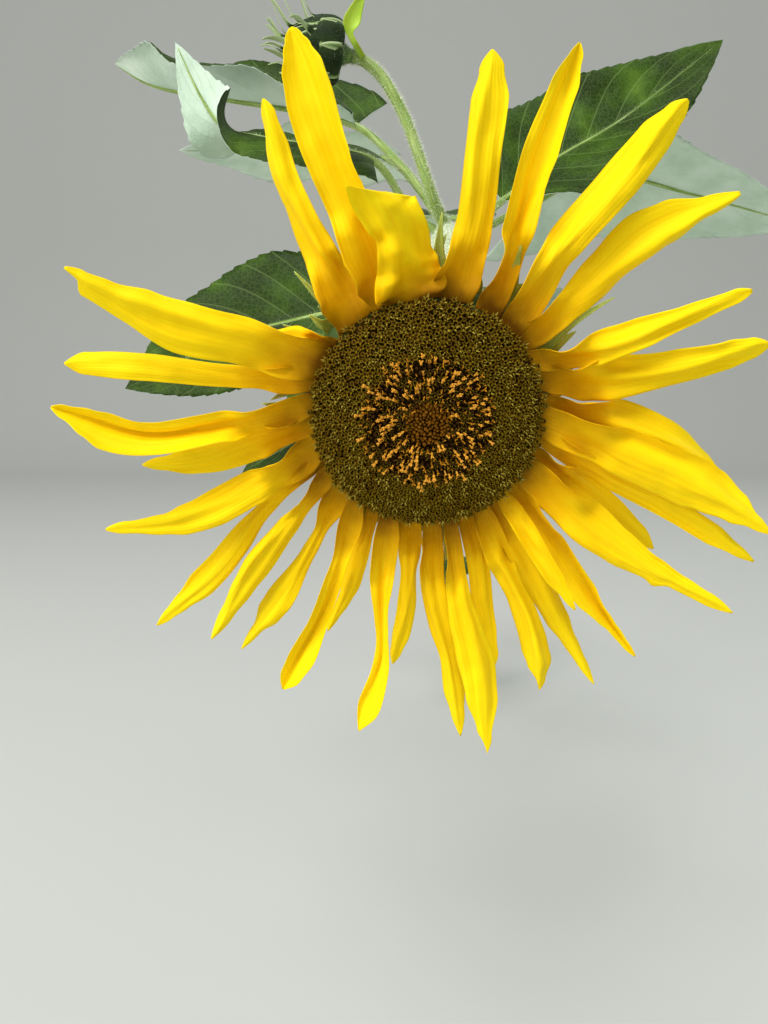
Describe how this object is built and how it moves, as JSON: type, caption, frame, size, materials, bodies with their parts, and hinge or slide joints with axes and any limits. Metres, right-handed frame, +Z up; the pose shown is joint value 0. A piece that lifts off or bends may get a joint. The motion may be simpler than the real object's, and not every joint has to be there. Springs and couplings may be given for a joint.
{
  "type": "sunflower plant",
  "caption": "Sunflower plant rooted in the ground, with an arching stem, an open nodding flower head, a closed bud and stalked heart-shaped leaves.",
  "frame": {"origin": "middle of the flat cut under the stem, at ground level", "axes": "+Z up; the flower faces -Y, and +X is to the right of someone who looks at its face"},
  "size_m": [0.5652, 1.5774, 1.0053],
  "materials": {
    "stem": "hairy green stalk, matt",
    "leaf": "rough hairy leaf, satin above and pale below",
    "young_leaf": "young leaf, satin",
    "bract": "yellow-green bract, matt",
    "bud": "dark green hairy bracts, matt",
    "ray_petal": "ray petal, satin",
    "disc_floret": "packed florets, matt"
  },
  "bodies": {
    "root": {"bud": "bud", "bud_leaf": "young_leaf", "bud_stalk": "stem", "leaf_back": "leaf", "leaf_left_back": "leaf", "leaf_left_curled": "leaf", "leaf_left_hanging": "leaf", "leaf_left_high": "leaf", "leaf_left_low": "leaf", "leaf_low_1": "leaf", "leaf_low_2": "leaf", "leaf_low_3": "leaf", "leaf_low_4": "leaf", "leaf_low_5": "leaf", "leaf_low_6": "leaf", "leaf_right_high": "leaf", "leaf_right_wide": "leaf", "neck": "stem", "ray_01": "ray_petal", "ray_02": "ray_petal", "ray_03": "ray_petal", "ray_04": "ray_petal", "ray_05": "ray_petal", "ray_06": "ray_petal", "ray_07": "ray_petal", "ray_08": "ray_petal", "ray_09": "ray_petal", "ray_10": "ray_petal", "ray_11": "ray_petal", "ray_12": "ray_petal", "ray_13": "ray_petal", "ray_14": "ray_petal", "ray_15": "ray_petal", "ray_16": "ray_petal", "ray_17": "ray_petal", "ray_18": "ray_petal", "ray_19": "ray_petal", "ray_20": "ray_petal", "ray_21": "ray_petal", "ray_22": "ray_petal", "ray_23": "ray_petal", "ray_24": "ray_petal", "ray_25": "ray_petal", "ray_26": "ray_petal", "ray_27": "ray_petal", "ray_28": "ray_petal", "ray_29": "ray_petal", "ray_30": "ray_petal", "ray_31": "ray_petal", "ray_32": "ray_petal", "ray_33": "ray_petal", "ray_34": "ray_petal", "ray_35": "ray_petal", "receptacle": "bract", "seed_disc": "disc_floret", "stem_bow": "stem", "stem_foot": "stem", "stem_rise": "stem", "stem_top": "stem"}
  },
  "joints": []
}
